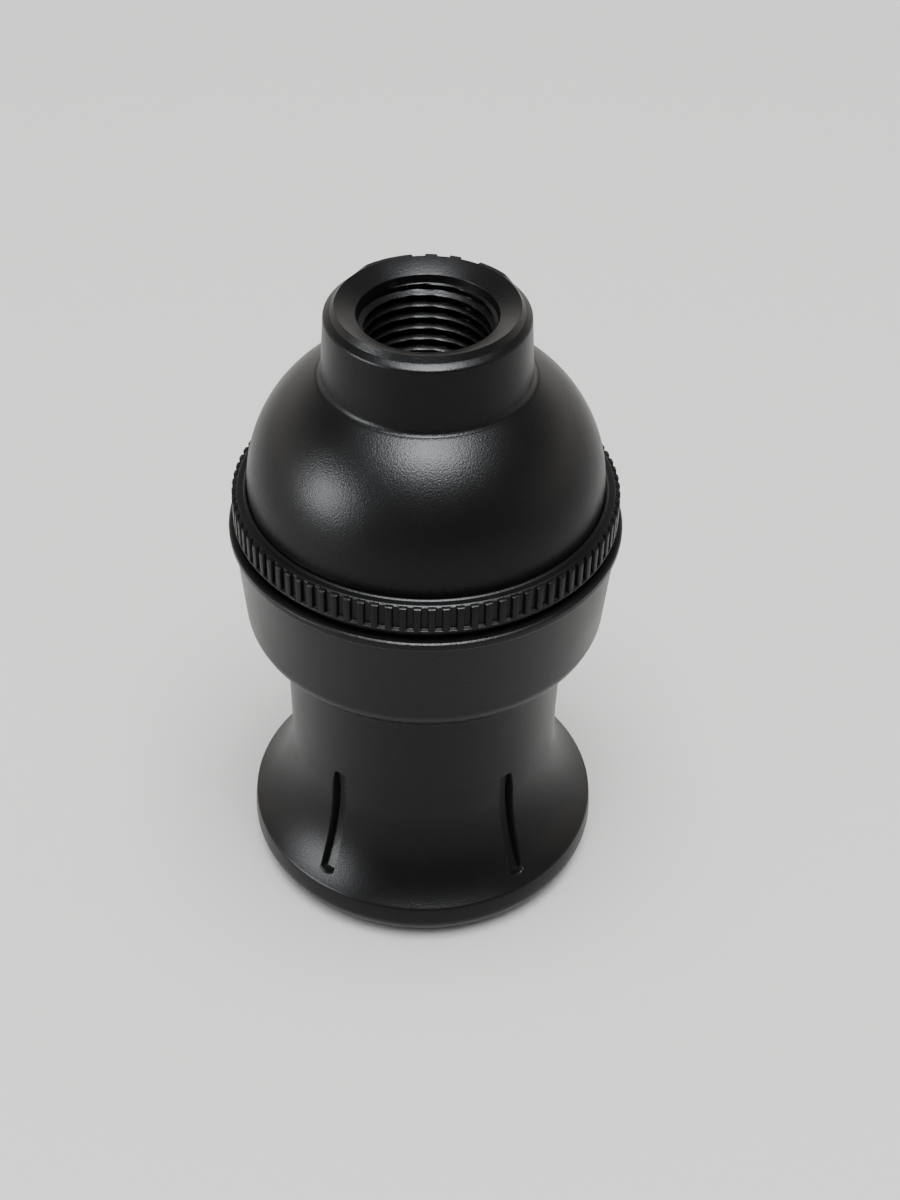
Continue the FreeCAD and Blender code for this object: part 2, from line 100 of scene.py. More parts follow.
rim_inner_radius = 19.0
rim_outer_radius = 21.3
rim_under_radius = 22.8
rim_under_height = 2.1
rim_band_radius = 23.35
rim_band_height = 3.3
rim_edge_radius = 23.1
rim_edge_height = 6.1
skirt_wall = 2.4
flare_radius = 15.4
waist_radius = 17.6
waist_wall = 2.6
waist_taper = 0.25
bowl_bottom = 35.2
bowl_rise = math.radians(42.5)
bowl_corner = 3.8
bowl_top_radius = flange_radius - 0.5
bowl_low_radius = bowl_top_radius - 1.05
floor_top = bowl_bottom + 4.0
flange_low = 52.6
flange_top = 53.7
groove_top = 22.2
groove_bottom = 7.2
groove_drift = (0.56, 0.27, -0.55)   # outward shift at mid-length, then its slope and its curve up the groove
groove_end_slope = 1.3               # how steeply the end walls rise
groove_spread = (0.6, 1.0)           # how far in from the waist and above the grooves the wall is still moved

spigot_fade = (0.5, 0.3)             # over which the body's turns rise at the flange and end at the top
ring_fade = 0.4                      # over which the ring's turns rise and end
knurl_valley = knurl_radius - 0.45
union_core_radius = 21.9
bowl_bore_radius = union_core_radius - 1.5
knurl_bevel = 0.15
knurl_top = ring_top - knurl_bevel
knurl_low = knurl_top - 3.4
knurl_shelf = 0.3
lip_underside = ring_top - 0.9

dome_radius = union_core_radius - 0.4
ring_hole_radius = dome_radius + running_gap
dome_arc = 17.0
dome_wall = 2.2
dome_centre = (dome_radius - dome_arc, ring_top + 0.8)
cap_base = spigot_top + face_gap
cap_flange_top = cap_base + 0.9
register_wall = 1.7
neck_base_radius = 12.25
neck_top_radius = 11.95
neck_fillet = 0.9
neck_wall_top = lip_top - 3.8
shoulder_round = 0.50
shoulder_slope = 55
shoulder_radius = 11.82
shoulder_centre = (shoulder_radius - shoulder_round, lip_top - 1.49)
lip_foot = (11.03, lip_top - 0.70)
lip_radius = 10.5
rim_high = lip_top - 0.08
rim_outer = 11.08
mouth_radius = 8.1
mouth_level = lip_top - 1.1
thread_top = entry_middle + entry_length / 2
thread_end = entry_middle - entry_length / 2
entry_lead = 1.1                     # how fast the entry's first turn rises below its mouth
entry_root, entry_flanks = 0.44, 0.46
stop_hole_radius = 6.2
stop_underside = thread_end - 1.6
ledge_gap = 0.03
rim_span = (24.0, 144.0)             # degrees from +X that the raised rim runs round the rear
rim_fade = 14.0                      # degrees over which each end of it falls to the shoulder
rim_notches = ((63.5, 2.4), (80.6, 1.5), (96.0, 1.5))    # (degrees from +X, width)

# ---------------------------------------------------------------- places of the lights
key_place = (76, 6, 1.5)             # degrees above the horizon, degrees to the camera's right, metres away
side_place = (18, -67, 1.2)
fill_place = (80, 6, 1.5)
cool_light = (0.93, 0.965, 1.0)
warm_light = (1.0, 0.985, 0.96)
surroundings_fades = (("Y", -0.85, 0.15), ("Z", 0.60, 0.12))    # (axis, where it is dim, where it is bright)
floor_half_width = 3.0


# ---------------------------------------------------------------- settings
class SkirtSettings(bpy.types.PropertyGroup):
    """Grooves of the skirt and its edges."""
    groove_turn: FloatProperty(name="Groove turn", description="Degrees from the mould's pull to each groove",
                               default=36.0)
    groove_inner: FloatProperty(name="Groove inner edge", description="From the middle in to the steep wall",
                                default=0.80 * MM, unit="LENGTH", precision=5)
    groove_outer: FloatProperty(name="Groove outer foot", description="From the middle out to the sloping wall",
                                default=0.60 * MM, unit="LENGTH", precision=5)
    groove_end: FloatProperty(name="Groove end", description="Radius of a groove's rounded ends",
                              default=1.00 * MM, unit="LENGTH", precision=5)
    groove_depth: FloatProperty(name="Groove depth", description="Depth at the middle of a groove",
                                default=1.1 * MM, unit="LENGTH", precision=5)
    groove_end_depth: FloatProperty(name="Groove end depth", description="Depth at a groove's two ends",
                                    default=0.60 * MM, unit="LENGTH", precision=5)
    groove_fall: FloatProperty(name="Groove fall", description="How much deeper a groove is at its lower end",
                               default=0.45 * MM, unit="LENGTH", precision=5)
    groove_inner_draft: FloatProperty(name="Groove inner draft", description="Lean of the steep wall",
                                      default=0.28)
    groove_outer_draft: FloatProperty(name="Groove outer draft", description="Lean of the sloping wall",
                                      default=0.55)
    groove_lip: FloatProperty(name="Groove lip", description="Softening of a groove's edges",
                              default=0.07 * MM, unit="LENGTH", precision=5)
    edge: FloatProperty(name="Edge", description="Softening of the moulded edges",
                        default=0.22 * MM, unit="LENGTH", precision=5)


class ThreadSettings(bpy.types.PropertyGroup):
    """The union thread and the conduit thread."""
    pitch: FloatProperty(name="Pitch", description="Rise of both threads in one turn",
                         default=1.5 * MM, unit="LENGTH", precision=5)
    union_depth: FloatProperty(name="Union depth", description="Height of the body's turns over their core",
                               default=0.35 * MM, unit="LENGTH", precision=5)
    ring_ridge: FloatProperty(name="Ring ridge", description="Height of the ring's turns in from its bore",
                              default=0.32 * MM, unit="LENGTH", precision=5)
    entry_depth: FloatProperty(name="Entry depth", description="Depth of the conduit thread",
                               default=0.66 * MM, unit="LENGTH", precision=5)
    rows: IntProperty(name="Rows", description="Rows of mesh in one turn of thread", default=18, min=6)


class KnurlSettings(bpy.types.PropertyGroup):
    """Ribs round the union ring."""
    count: IntProperty(name="Ribs", description="Ribs around the ring", default=90, min=3)
    base: FloatProperty(name="Rib base", description="Width of a rib where it leaves the ring",
                        default=0.92 * MM, unit="LENGTH", precision=5)
    crest: FloatProperty(name="Rib crest", description="Width of a rib at its crest",
                         default=0.76 * MM, unit="LENGTH", precision=5)


class SpringSettings(bpy.types.PropertyGroup):
    """The plungers' springs."""
    wire: FloatProperty(name="Wire", description="Diameter of the spring wire",
                        default=0.45 * MM, unit="LENGTH", precision=5)
    turns: FloatProperty(name="Turns", description="Turns of each spring", default=6.0, min=1.0)


class FinishSettings(bpy.types.PropertyGroup):
    """Colours and grain of the materials."""
    moulding: FloatVectorProperty(name="Moulding", description="Colour of the black moulding",
                                  subtype="COLOR", size=3, min=0, max=1, default=(0.0042, 0.0042, 0.0044))
    moulding_ior: FloatProperty(name="Moulding IOR", description="Refraction index of the moulding's skin",
                                default=1.20, min=1)
    brass: FloatVectorProperty(name="Brass", description="Colour of the brass contacts",
                               subtype="COLOR", size=3, min=0, max=1, default=(0.72, 0.50, 0.21))
    steel: FloatVectorProperty(name="Steel", description="Colour of the plated steel",
                               subtype="COLOR", size=3, min=0, max=1, default=(0.60, 0.60, 0.58))
    grain: FloatProperty(name="Grain", description="Size of the moulding's grain",
                         default=0.20 * MM, unit="LENGTH", precision=5)
    grain_height: FloatProperty(name="Grain height", description="Height of the moulding's grain",
                                default=0.030 * MM, unit="LENGTH", precision=6)


class StageSettings(bpy.types.PropertyGroup):
    """Camera, lights and floor."""
    elevation: FloatProperty(name="Elevation", description="Height of the camera above the horizon",
                             default=math.radians(41.1), subtype="ANGLE")
    distance: FloatProperty(name="Distance", description="From the camera to the point it aims at",
                            default=0.228, unit="LENGTH")
    aim_height: FloatProperty(name="Aim", description="Height on the axis that the camera aims at",
                              default=39.48 * MM, unit="LENGTH", precision=5)
    lens: FloatProperty(name="Lens", description="Focal length in millimetres", default=53.7)
    roll: FloatProperty(name="Roll", description="Turn of the camera about its own view",
                        default=math.radians(0.6), subtype="ANGLE")
    shift: FloatProperty(name="Shift", description="Sideways shift of the view", default=0.0210)
    floor: FloatVectorProperty(name="Floor", description="Colour of the floor",
                               subtype="COLOR", size=3, min=0, max=1, default=(0.70, 0.70, 0.70))
    key_power: FloatProperty(name="Key", description="Power of the overhead softbox in watts", default=145.0)
    key_size: FloatProperty(name="Key size", description="Width of the overhead softbox",
                            default=0.80, unit="LENGTH")
    side_power: FloatProperty(name="Side", description="Power of the left softbox in watts", default=34.0)
    side_size: FloatProperty(name="Side size", description="Width of the softbox at the left",
                             default=0.50, unit="LENGTH")
    fill_power: FloatProperty(name="Fill", description="Power of the light on the floor in watts", default=38.0)
    fill_size: FloatProperty(name="Fill size", description="Width of the light on the floor",
                             default=1.1, unit="LENGTH")
    front: FloatVectorProperty(name="Front", description="Surroundings above and on the camera's side",
                               subtype="COLOR", size=3, min=0, default=(0.30, 0.30, 0.31))
    sides: FloatVectorProperty(name="Sides", description="Surroundings low at the sides and behind",
                               subtype="COLOR", size=3, min=0, default=(2.30, 2.20, 2.06))


class HolderSettings(bpy.types.PropertyGroup):
    """All settings of the lamp holder."""
    skirt: PointerProperty(type=SkirtSettings)
    thread: PointerProperty(type=ThreadSettings)
    knurl: PointerProperty(type=KnurlSettings)
    spring: PointerProperty(type=SpringSettings)
    finish: PointerProperty(type=FinishSettings)
    stage: PointerProperty(type=StageSettings)


# ---------------------------------------------------------------- outlines and turned meshes
class Outline:
    """Closed outline in the plane of the axis, drawn corner by corner in millimetres."""

    def __init__(self):
        self.points = []
        self.softness = []

    def to(self, radius, height, soft=0.0, step=None):
        """Adds a corner. With a step, the way to it is divided into pieces of about that length."""
        if step:
            last = self.points[-1]
            count = max(1, round(math.dist(last, (radius, height)) / step))
            for i in range(1, count):
                share = i / count
                self.points.append((last[0] + (radius - last[0]) * share, last[1] + (height - last[1]) * share))
                self.softness.append(0.0)
        self.points.append((radius, height))
        self.softness.append(soft)
        return self

    def arc(self, centre, radius, start, end, steps):
        """Adds points round a centre, from one angle in degrees to another."""
        for i in range(steps + 1):
            angle = math.radians(start + (end - start) * i / steps)
            self.points.append((centre[0] + radius * math.cos(angle), centre[1] + radius * math.sin(angle)))
            self.softness.append(0.0)
        return self

    def rounded(self, steps=4):
        """The outline's points with every soft corner replaced by a curve."""
        points = np.array(self.points)
        ends = np.roll(points, -1, axis=0)
        lengths = np.hypot(*(ends - points).T)
        at = np.concatenate([[0.0], np.cumsum(lengths)])
        total = at[-1]

        def place(s):
            s = s % total
            i = min(np.searchsorted(at, s, side="right") - 1, len(points) - 1)
            share = (s - at[i]) / lengths[i] if lengths[i] else 0.0
            return points[i] + (ends[i] - points[i]) * share

        corners = [i for i, soft in enumerate(self.softness) if soft > 0]
        reach = {}
        for k, i in enumerate(corners):
            before = (at[i] - at[corners[k - 1]]) % total
            after = (at[corners[(k + 1) % len(corners)]] - at[i]) % total
            reach[i] = min(self.softness[i], 0.48 * before, 0.48 * after)
        result = []
        for i, point in enumerate(points):
            if i in reach:
                first, last = place(at[i] - reach[i]), place(at[i] + reach[i])
                for k in range(steps + 1):
                    t = k / steps
                    result.append((1 - t) ** 2 * first + 2 * t * (1 - t) * point + t ** 2 * last)
                continue
            inside = any(min((at[i] - at[c]) % total, (at[c] - at[i]) % total) <= reach[c] for c in corners)
            if not inside:
                result.append(point)
        return np.array(result)


def lathe(name, outline, columns, warp=None):
    """Mesh object of an outline turned about the axis; warp may move its points' radius, height and turn."""
    rows = outline.rounded()
    radius = np.repeat(rows[:, :1], len(columns), axis=1)
    height = np.repeat(rows[:, 1:], len(columns), axis=1)
    turn = np.repeat(np.asarray(columns)[None, :], len(rows), axis=0)
    if warp:
        radius, height, turn = warp(radius, height, turn)
    points = np.stack([radius * np.cos(turn), radius * np.sin(turn), height], axis=2).reshape(-1, 3) * MM
    count_r, count_c = radius.shape
    i, j = np.meshgrid(np.arange(count_r), np.arange(count_c), indexing="ij")
    i2, j2 = (i + 1) % count_r, (j + 1) % count_c
    quads = np.stack([i * count_c + j, i * count_c + j2, i2 * count_c + j2, i2 * count_c + j], axis=2)
    quads = quads.reshape(-1, 4)
    a, b, c, d = (points[quads[:, k]] for k in range(4))
    volume = np.einsum("ij,ij->i", a, np.cross(b, c)).sum() + np.einsum("ij,ij->i", a, np.cross(c, d)).sum()
    if volume < 0:
        quads = quads[:, ::-1]
    return mesh_object(name, points, quads)


def mesh_object(name, points, faces, sharp=32.0):
    """Object with a smooth mesh whose edges are sharp past an angle in degrees."""
    mesh = bpy.data.meshes.new(name)
    mesh.from_pydata(np.asarray(points).tolist(), [], [[int(i) for i in face] for face in faces])
    mesh.validate()
    mesh.shade_smooth()
    mesh.set_sharp_from_angle(angle=math.radians(sharp))
    obj = bpy.data.objects.new(name, mesh)
    bpy.context.scene.collection.objects.link(obj)
    return obj


def thread_height(height, turn, pitch, phase=0.0, root=0.10, flanks=0.80):
    """How far out of the root a right-hand thread stands, from 0 to 1; root and flanks are shares of a turn."""
    where = (height / pitch - turn / TURN + phase) % 1.0
    slope = np.abs(2 * where - 1)
    return np.clip((slope - root) / flanks, 0.0, 1.0)


def settings():
    return bpy.context.scene.lamp_holder


# ---------------------------------------------------------------- materials
def group_tree(name, inputs, outputs):
    """New shader group with named sockets: inputs {name: (type, default)}, outputs {name: type}."""
    tree = bpy.data.node_groups.new(name, "ShaderNodeTree")
    for label, (kind, default) in inputs.items():
        socket = tree.interface.new_socket(label, in_out="INPUT", socket_type=kind)
        socket.default_value = default
    for label, kind in outputs.items():
        tree.interface.new_socket(label, in_out="OUTPUT", socket_type=kind)
    return tree, tree.nodes.new("NodeGroupInput"), tree.nodes.new("NodeGroupOutput")


def grain_group():
    """Fine grain and soft patches of gloss, shared by every material."""
    if "surface_grain" in bpy.data.node_groups:
        return bpy.data.node_groups["surface_grain"]
    tree, source, target = group_tree(
        "surface_grain",
        {"Grain": ("NodeSocketFloat", 5000.0), "Patches": ("NodeSocketFloat", 90.0),
         "Height": ("NodeSocketFloat", 1e-5), "Smooth": ("NodeSocketFloat", 0.3),
         "Rough": ("NodeSocketFloat", 0.4)},
        {"Normal": "NodeSocketVector", "Roughness": "NodeSocketFloat", "Grain": "NodeSocketFloat"})
    links = tree.links
    place = tree.nodes.new("ShaderNodeTexCoord")
    fine = tree.nodes.new("ShaderNodeTexNoise")
    fine.inputs["Detail"].default_value = 2.0
    broad = tree.nodes.new("ShaderNodeTexNoise")
    broad.inputs["Detail"].default_value = 3.0
    for noise, scale in ((fine, "Grain"), (broad, "Patches")):
        links.new(place.outputs["Object"], noise.inputs["Vector"])
        links.new(source.outputs[scale], noise.inputs["Scale"])
    bump = tree.nodes.new("ShaderNodeBump")
    links.new(source.outputs["Height"], bump.inputs["Distance"])
    links.new(fine.outputs["Fac"], bump.inputs["Height"])
    rough = tree.nodes.new("ShaderNodeMapRange")
    rough.inputs["From Min"].default_value = 0.35
    rough.inputs["From Max"].default_value = 0.65
    links.new(broad.outputs["Fac"], rough.inputs["Value"])
    links.new(source.outputs["Smooth"], rough.inputs["To Min"])
    links.new(source.outputs["Rough"], rough.inputs["To Max"])
    links.new(bump.outputs["Normal"], target.inputs["Normal"])
    links.new(rough.outputs["Result"], target.inputs["Roughness"])
    links.new(fine.outputs["Fac"], target.inputs["Grain"])
    return tree


def surface(name, colour, grain, height, smooth, rough, metallic=0.0, tint=0.25, ior=1.5):
    """Material with fine grain, patches of gloss and a slight change of colour with the grain."""
    if name in bpy.data.materials:
        return bpy.data.materials[name]
    material = bpy.data.materials.new(name)
    material.use_nodes = True
    nodes, links = material.node_tree.nodes, material.node_tree.links
    shader = nodes["Principled BSDF"]
    shader.inputs["Metallic"].default_value = metallic
    shader.inputs["IOR"].default_value = ior
    group = nodes.new("ShaderNodeGroup")
    group.node_tree = grain_group()
    group.inputs["Grain"].default_value = 1 / grain
    group.inputs["Height"].default_value = height
    group.inputs["Smooth"].default_value = smooth
    group.inputs["Rough"].default_value = rough
    blend = nodes.new("ShaderNodeMix")
    blend.data_type = "RGBA"
    low = [c * (1 - tint) for c in colour]
    high = [min(1.0, c * (1 + tint)) for c in colour]
    blend.inputs["A"].default_value = (*low, 1)
    blend.inputs["B"].default_value = (*high, 1)
    links.new(group.outputs["Grain"], blend.inputs["Factor"])
    links.new(blend.outputs["Result"], shader.inputs["Base Color"])
    links.new(group.outputs["Roughness"], shader.inputs["Roughness"])
    links.new(group.outputs["Normal"], shader.inputs["Normal"])
    return material


def moulding_material():
    finish = settings().finish
    return surface("finish_moulding", finish.moulding, finish.grain, finish.grain_height, 0.29, 0.35,
                   ior=finish.moulding_ior)


def brass_material():
    finish = settings().finish
    return surface("finish_brass", finish.brass, 0.4 * MM, 0.002 * MM, 0.20, 0.34, metallic=1.0, tint=0.08)


def steel_material():
    finish = settings().finish
    return surface("finish_steel", finish.steel, 0.3 * MM, 0.002 * MM, 0.22, 0.36, metallic=1.0, tint=0.06)


# ---------------------------------------------------------------- the body
def flare_arc():
    """Distance of the flare's centre from the axis, its height, and the flare's sweep in degrees."""
    centre_r = waist_radius + flare_radius
    sweep = math.acos((centre_r - rim_edge_radius) / flare_radius)
    return centre_r, rim_edge_height + flare_radius * math.sin(sweep), math.degrees(sweep)


def flare_at(z):
    """Radius of the flare at a height."""
    centre_r, flare_top, _ = flare_arc()
    return centre_r - math.sqrt(flare_radius ** 2 - (flare_top - z) ** 2)


def groove_columns():
    """Places across a groove, from its inner to its outer side: close on the two walls and wide elsewhere."""
    inner_wall = np.arange(-1.24, -0.64, 0.05)
    floor = [-0.40, -0.10, 0.20, 0.36, 0.48, 0.62, 0.76]
    outer_wall = np.arange(0.88, 1.54, 0.055)
    return np.concatenate([[-1.8, -1.45], inner_wall, floor, outer_wall, [1.65, 1.95]])


def groove_warp(skirt):
    """Sinks four grooves into the flare, in a pair at the front and a pair behind.

    The mould opens from front to back, so a groove's inner wall is steep and its outer one slopes. A disc
    sets the floor. Returns the warp and the number of columns, whose turns the warp gives.
    """
    end, outer, inner = skirt.groove_end / MM, skirt.groove_outer / MM, skirt.groove_inner / MM
    depth, end_depth = skirt.groove_depth / MM, skirt.groove_end_depth / MM
    top = np.array((waist_radius, groove_top))
    low = np.array((flare_at(groove_bottom) - skirt.groove_fall / MM, groove_bottom))
    length = math.dist(top, low)
    along = (top - low) / length
    out = np.array((along[1], -along[0]))
    middle = (top + low) / 2
    hollow = (middle[0] - flare_at(middle[1])) * out[0] + depth
    sagitta = hollow - end_depth
    disc = (length ** 2 / 4 + sagitta ** 2) / (2 * sagitta)
    centre = middle + out * (disc - hollow)
    across = groove_columns()
    between = np.linspace(0, 1, 26)[1:-1]
    per = len(across) + len(between)
    grooves = [(pull + hand * skirt.groove_turn / 360 * TURN, hand)
               for pull in (TURN / 4, TURN * 3 / 4) for hand in (-1, 1)]

    def place(radius, height):
        """How far up the groove a point is, and the groove's drift outward there."""
        s = (radius - middle[0]) * along[0] + (height - middle[1]) * along[1]
        u = np.clip(2 * s / length, -1, 1)
        return s, groove_drift[0] + groove_drift[1] * u + groove_drift[2] * u ** 2

    def columns(radius, height):
        """Turn of every column in each row, its offset from its groove's middle, and the groove's hand."""
        turn = np.zeros_like(radius)
        offset = np.full_like(radius, np.inf)
        hands = np.ones(radius.shape[1])
        _, drift = place(radius[:, :1], height[:, :1])
        leans = [np.arcsin(np.clip((hand * drift + across if hand > 0 else hand * drift - across[::-1])
                                   / radius[:, :1], -0.9, 0.9)) for _, hand in grooves]
        for k, (middle_turn, hand) in enumerate(grooves):
            first, last = k * per, k * per + len(across)
            following = grooves[(k + 1) % len(grooves)][0] + (TURN if k + 1 == len(grooves) else 0)
            turn[:, first:last] = middle_turn + leans[k]
            offset[:, first:last] = np.sin(leans[k]) * radius[:, :1]
            hands[first:last] = hand
            start = middle_turn + leans[k][:, -1:]
            stop = following + leans[(k + 1) % len(grooves)][:, :1]
            turn[:, last:first + per] = start + (stop - start) * between
        return turn, offset, hands

    def warp(radius, height, _):
        turn, offset, hands = columns(radius, height)
        near = (radius > waist_radius - groove_spread[0]) & (height < groove_top + groove_spread[1])
        near &= np.isfinite(offset)
        t = np.where(near, offset, 0.0)
        plane_r = np.sqrt(radius ** 2 - t ** 2)
        away_r, away_z = plane_r - centre[0], height - centre[1]
        distance = np.hypot(away_r, away_z)
        s, drift = place(plane_r, height)
        side = hands * t - drift
        wall = (np.maximum(side - outer, 0) / skirt.groove_outer_draft
                + np.maximum(-inner - side, 0) / skirt.groove_inner_draft)
        past = np.maximum(np.abs(s) - (length / 2 - end), 0)
        spine = (outer + skirt.groove_outer_draft * end_depth - inner) / 2
        inside = end - np.hypot(past, (side - spine) * np.clip(past / end, 0, 1))
        raw = np.minimum(disc - wall - distance, groove_end_slope * inside)
        soft = skirt.groove_lip / MM
        push = np.where(near & (raw > -3 * soft), (raw + np.sqrt(raw ** 2 + soft ** 2)) / 2, 0)
        push = np.where(near & (raw <= 0), push * np.clip(1 + raw / (3 * soft), 0, 1), push)
        moved_r = plane_r + away_r / distance * push
        moved_z = height + away_z / distance * push
        bend = np.arctan2(t, moved_r) - np.arctan2(t, plane_r)
        return np.where(near, np.hypot(moved_r, t), radius), np.where(near, moved_z, height), turn + bend

    return warp, len(grooves) * per


def body_outline(edge, pitch, rows):
    """Outline of the body's wall, from the rim up its outside to the spigot and down its inside."""
    centre_r, flare_top, sweep = flare_arc()
    inner_waist = waist_radius - waist_wall
    inner_radius = flare_radius + skirt_wall
    inner_centre = (centre_r - waist_wall + skirt_wall, flare_top)
    inner_sweep = math.degrees(math.acos((centre_r - rim_inner_radius) / inner_radius))
    waist_top = waist_radius + waist_taper
    bowl_low = bowl_bottom + (bowl_low_radius - waist_top) * math.tan(bowl_rise)
    side = math.atan2(flange_low - bowl_low, bowl_top_radius - bowl_low_radius)
    reach = bowl_corner * math.tan((side - bowl_rise) / 2)
    corner = (bowl_low_radius - reach * math.cos(bowl_rise) - bowl_corner * math.sin(bowl_rise),
              bowl_low - reach * math.sin(bowl_rise) + bowl_corner * math.cos(bowl_rise))
    steps = math.ceil(math.radians(sweep) * flare_radius / 0.16)
    shape = Outline()
    shape.to(rim_inner_radius, rim_base, edge).to(rim_outer_radius, rim_base, 2 * edge)
    shape.to(rim_under_radius, rim_under_height, 4 * edge).to(rim_band_radius, rim_band_height, 5 * edge)
    shape.arc((centre_r, flare_top), flare_radius, 180 + sweep, 180, steps)
    shape.softness[-steps - 1] = edge
    shape.to(waist_radius, groove_top + 0.3, 0, 0.16)
    shape.to(waist_top, bowl_bottom, edge * 0.5)
    shape.arc(corner, bowl_corner, math.degrees(bowl_rise) - 90, math.degrees(side) - 90, 16)
    shape.to(bowl_top_radius, flange_low, edge * 0.7)
    shape.to(flange_radius, flange_low, edge).to(flange_radius, flange_top - 0.18, 0.08)
    shape.to(flange_radius - 0.25, flange_top, 0.08)
    shape.to(union_core_radius, flange_top, edge * 0.5)
    shape.to(union_core_radius, spigot_top, edge * 0.5, pitch / rows)
    shape.to(bowl_bore_radius, spigot_top, edge * 0.5).to(bowl_bore_radius, floor_top, edge)
    shape.to(inner_waist, floor_top, edge).to(inner_waist, flare_top)
    shape.arc(inner_centre, inner_radius, 180, 180 + inner_sweep, 24)
    return shape


class HOLDER_OT_body(bpy.types.Operator):
    """Build the moulded body: bowl, waist, skirt with its grooves, and the union thread"""
    bl_idname = "lamp_holder.body"
    bl_label = "Body and skirt"

    def execute(self, context):
        skirt, thread = settings().skirt, settings().thread
        grooves, count = groove_warp(skirt)
        pitch = thread.pitch / MM
        shape = body_outline(skirt.edge / MM, pitch, thread.rows)

        def warp(radius, height, turn):
            radius, height, turn = grooves(radius, height, turn)
            run = (np.abs(radius - union_core_radius) < 0.01) & (height > flange_top) & (height < spigot_top)
            fade = np.clip((height - flange_top) / spigot_fade[0], 0, 1)
            fade = fade * np.clip((spigot_top - height) / spigot_fade[1], 0, 1)
            ridge = thread_height(height, turn, pitch) * fade * thread.union_depth / MM
            return np.where(run, radius + ridge, radius), height, turn

        obj = lathe("skirt_body_moulding", shape, np.zeros(count), warp)
        obj.data.materials.append(moulding_material())
        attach(obj, "holder")
        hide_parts("skirt_body")
        return {"FINISHED"}


# ---------------------------------------------------------------- the union ring
def rib_mesh(knurl):
    """One rib of the knurl at angle 0, with a rounded crest and a sloping top."""
    root = knurl_valley - 0.15
    crest = knurl_radius
    base, top = knurl.base / MM / 2, knurl.crest / MM / 2
    half = [(root, base + 0.03), (knurl_valley, base), (crest - 0.14, top + 0.03), (crest - 0.05, top - 0.02),
            (crest, top * 0.45)]
    profile = [(r, -y) for r, y in half] + half[::-1]
    levels = [(knurl_low + knurl_shelf - 0.1, 0.0), (knurl_top - 0.12, 0.0), (knurl_top - 0.03, 0.03),
              (knurl_top + 0.03, 0.10), (ring_top - 0.06, 0.22)]
    points, faces = [], []
    for level, drawn_in in levels:
        points += [(min(r, crest - drawn_in), y, level) for r, y in profile]
    n = len(profile)
    for k in range(len(levels) - 1):
        low, high = k * n, (k + 1) * n
        faces += [(low + i, low + (i + 1) % n, high + (i + 1) % n, high + i) for i in range(n)]
    faces.append(tuple(range(n))[::-1])
    faces.append(tuple((len(levels) - 1) * n + i for i in range(n)))
    return np.array(points) * MM, faces


def around_group():
    """Geometry group that repeats a piece round the axis and gives it a material."""
    if "repeat_around" in bpy.data.node_groups:
        return bpy.data.node_groups["repeat_around"]
    tree = bpy.data.node_groups.new("repeat_around", "GeometryNodeTree")
    tree.interface.new_socket("Geometry", in_out="INPUT", socket_type="NodeSocketGeometry")
    tree.interface.new_socket("Count", in_out="INPUT", socket_type="NodeSocketInt")
    tree.interface.new_socket("Material", in_out="INPUT", socket_type="NodeSocketMaterial")
    tree.interface.new_socket("Geometry", in_out="OUTPUT", socket_type="NodeSocketGeometry")
    nodes, links = tree.nodes, tree.links
    source, target = nodes.new("NodeGroupInput"), nodes.new("NodeGroupOutput")
    points = nodes.new("GeometryNodePoints")
    links.new(source.outputs["Count"], points.inputs["Count"])
    step = nodes.new("ShaderNodeMath")
    step.operation = "DIVIDE"
    step.inputs[0].default_value = TURN
    links.new(source.outputs["Count"], step.inputs[1])
    index = nodes.new("GeometryNodeInputIndex")
    turn = nodes.new("ShaderNodeMath")
    turn.operation = "MULTIPLY"
    links.new(index.outputs["Index"], turn.inputs[0])
    links.new(step.outputs["Value"], turn.inputs[1])
    angle = nodes.new("ShaderNodeCombineXYZ")
    links.new(turn.outputs["Value"], angle.inputs["Z"])
    place = nodes.new("GeometryNodeInstanceOnPoints")
    links.new(points.outputs[0], place.inputs["Points"])
    links.new(source.outputs["Geometry"], place.inputs["Instance"])
    links.new(angle.outputs["Vector"], place.inputs["Rotation"])
    realize = nodes.new("GeometryNodeRealizeInstances")
    links.new(place.outputs["Instances"], realize.inputs["Geometry"])
    paint = nodes.new("GeometryNodeSetMaterial")
    links.new(realize.outputs["Geometry"], paint.inputs["Geometry"])
    links.new(source.outputs["Material"], paint.inputs["Material"])
    links.new(paint.outputs["Geometry"], target.inputs["Geometry"])
    return tree


def apply_group(obj, tree, values):
    """Runs a geometry group on an object with named inputs, and keeps the result as its plain mesh."""
    modifier = obj.modifiers.new(tree.name, "NODES")
    modifier.node_group = tree
    for item in tree.interface.items_tree:
        if item.item_type == "SOCKET" and item.in_out == "INPUT" and item.name in values:
            modifier[item.identifier] = values[item.name]
    obj.update_tag()
    bpy.context.view_layer.update()
    result = bpy.data.meshes.new_from_object(obj.evaluated_get(bpy.context.evaluated_depsgraph_get()))
    obj.modifiers.remove(modifier)
    obj.data = result
    return obj


